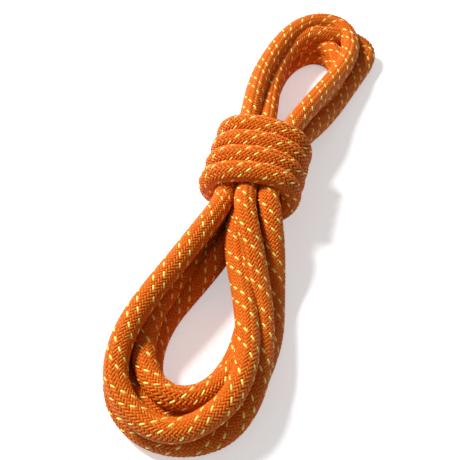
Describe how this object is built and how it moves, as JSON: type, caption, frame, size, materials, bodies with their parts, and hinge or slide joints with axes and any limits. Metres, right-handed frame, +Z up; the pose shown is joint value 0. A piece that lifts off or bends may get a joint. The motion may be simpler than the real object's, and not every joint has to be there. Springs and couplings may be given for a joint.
{
  "type": "dynamic climbing rope",
  "caption": "Dynamic climbing rope with a braided sheath over a core, wound into a long hank and wrapped round its own waist for carrying and storage.",
  "frame": {"origin": "middle of the hank's footprint, on the surface that it lies on", "axes": "+Y along the hank, from the long lower loops towards the smaller upper loops; +Z up from the surface that it lies on; +X to the right when looking along +Y"},
  "size_m": [0.0948, 0.3, 0.0509],
  "materials": {
    "braided_sheath": "braided orange polyamide with yellow tracer yarns",
    "core_yarn": "off-white twisted polyamide yarn",
    "melted_end": "melted and hardened polyamide"
  },
  "bodies": {
    "root": {"rope_sheath": "braided_sheath", "rope_core": "core_yarn", "start_end_seal": "melted_end", "tail_end_seal": "melted_end"}
  },
  "joints": []
}
